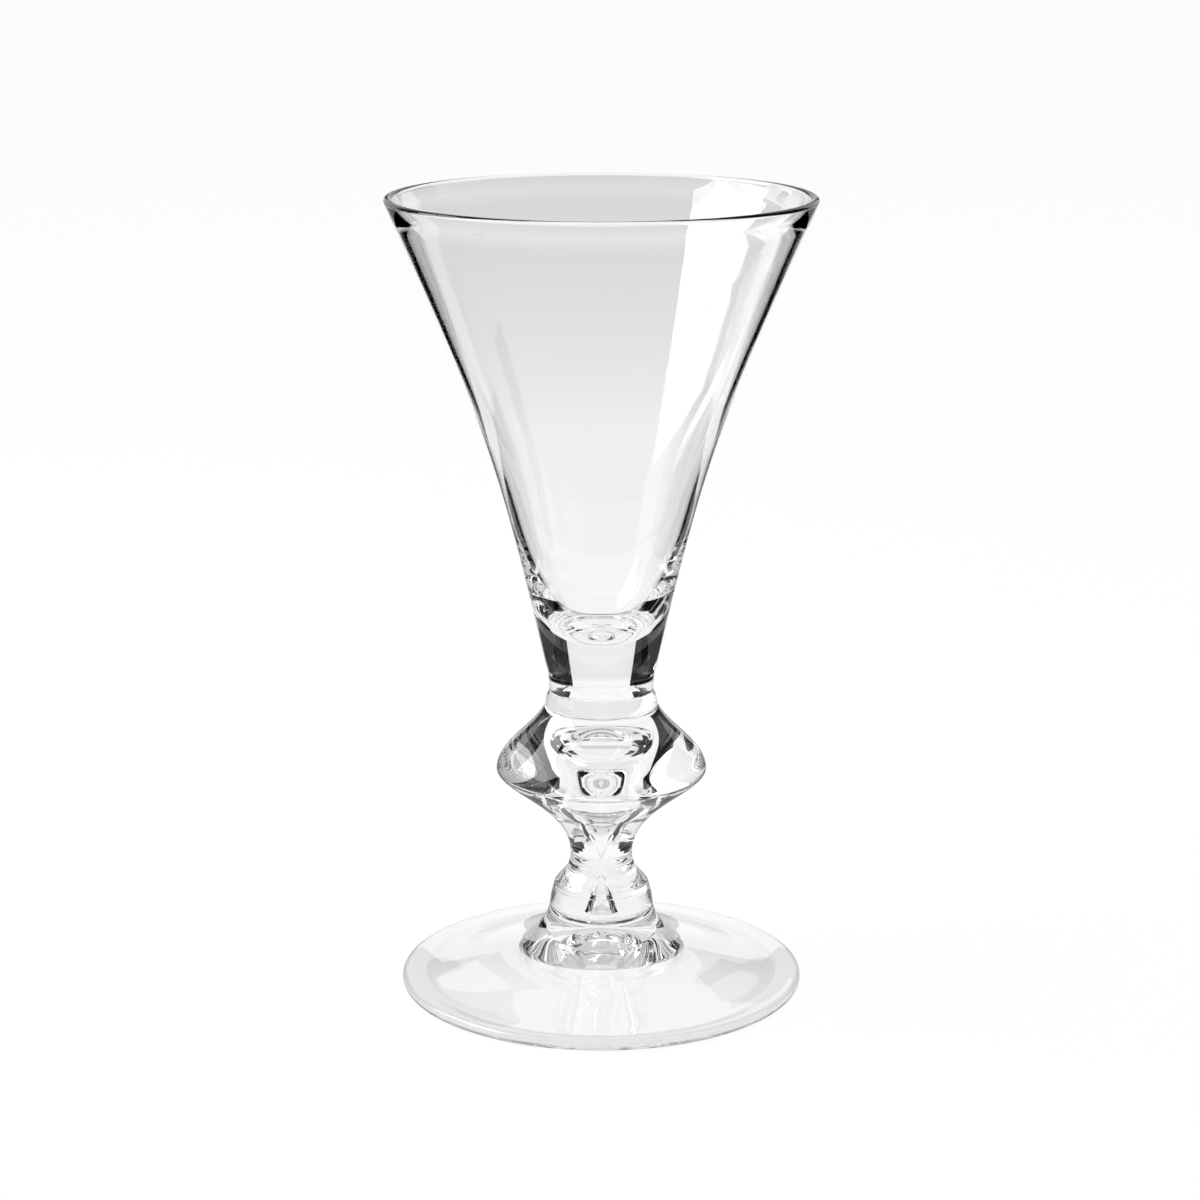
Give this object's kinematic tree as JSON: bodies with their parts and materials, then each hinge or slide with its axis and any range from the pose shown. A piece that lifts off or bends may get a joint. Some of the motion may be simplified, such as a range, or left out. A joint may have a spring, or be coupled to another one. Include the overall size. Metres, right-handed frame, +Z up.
{
  "type": "water goblet",
  "caption": "Clear hand-made glass goblet: flared trumpet bowl with a heavy base, flattened knop with an air tear, thin neck and mereses on a spread foot with a raised boss. For water or wine.",
  "frame": {"origin": "where the goblet's axis meets the table it stands on", "axes": "+Z up along the axis of turning, from the foot to the rim; the goblet is alike all round, so X and Y are free"},
  "size_m": [0.0934, 0.0934, 0.178],
  "materials": {
    "foot_glass": "clear crystal, fire-polished, with its underside domed up under the boss",
    "lower_merese_glass": "clear crystal, fire-polished",
    "base_knop_glass": "clear crystal, fire-polished, with the point of a small air tear",
    "stem_glass": "clear crystal, fire-polished, round a drawn-out air tear",
    "upper_merese_glass": "clear crystal, fire-polished",
    "bowl_glass": "clear crystal, fire-polished rim"
  },
  "bodies": {
    "root": {"foot": "foot_glass", "lower_merese": "lower_merese_glass", "base_knop": "base_knop_glass", "stem": "stem_glass", "upper_merese": "upper_merese_glass", "bowl": "bowl_glass"}
  },
  "joints": []
}
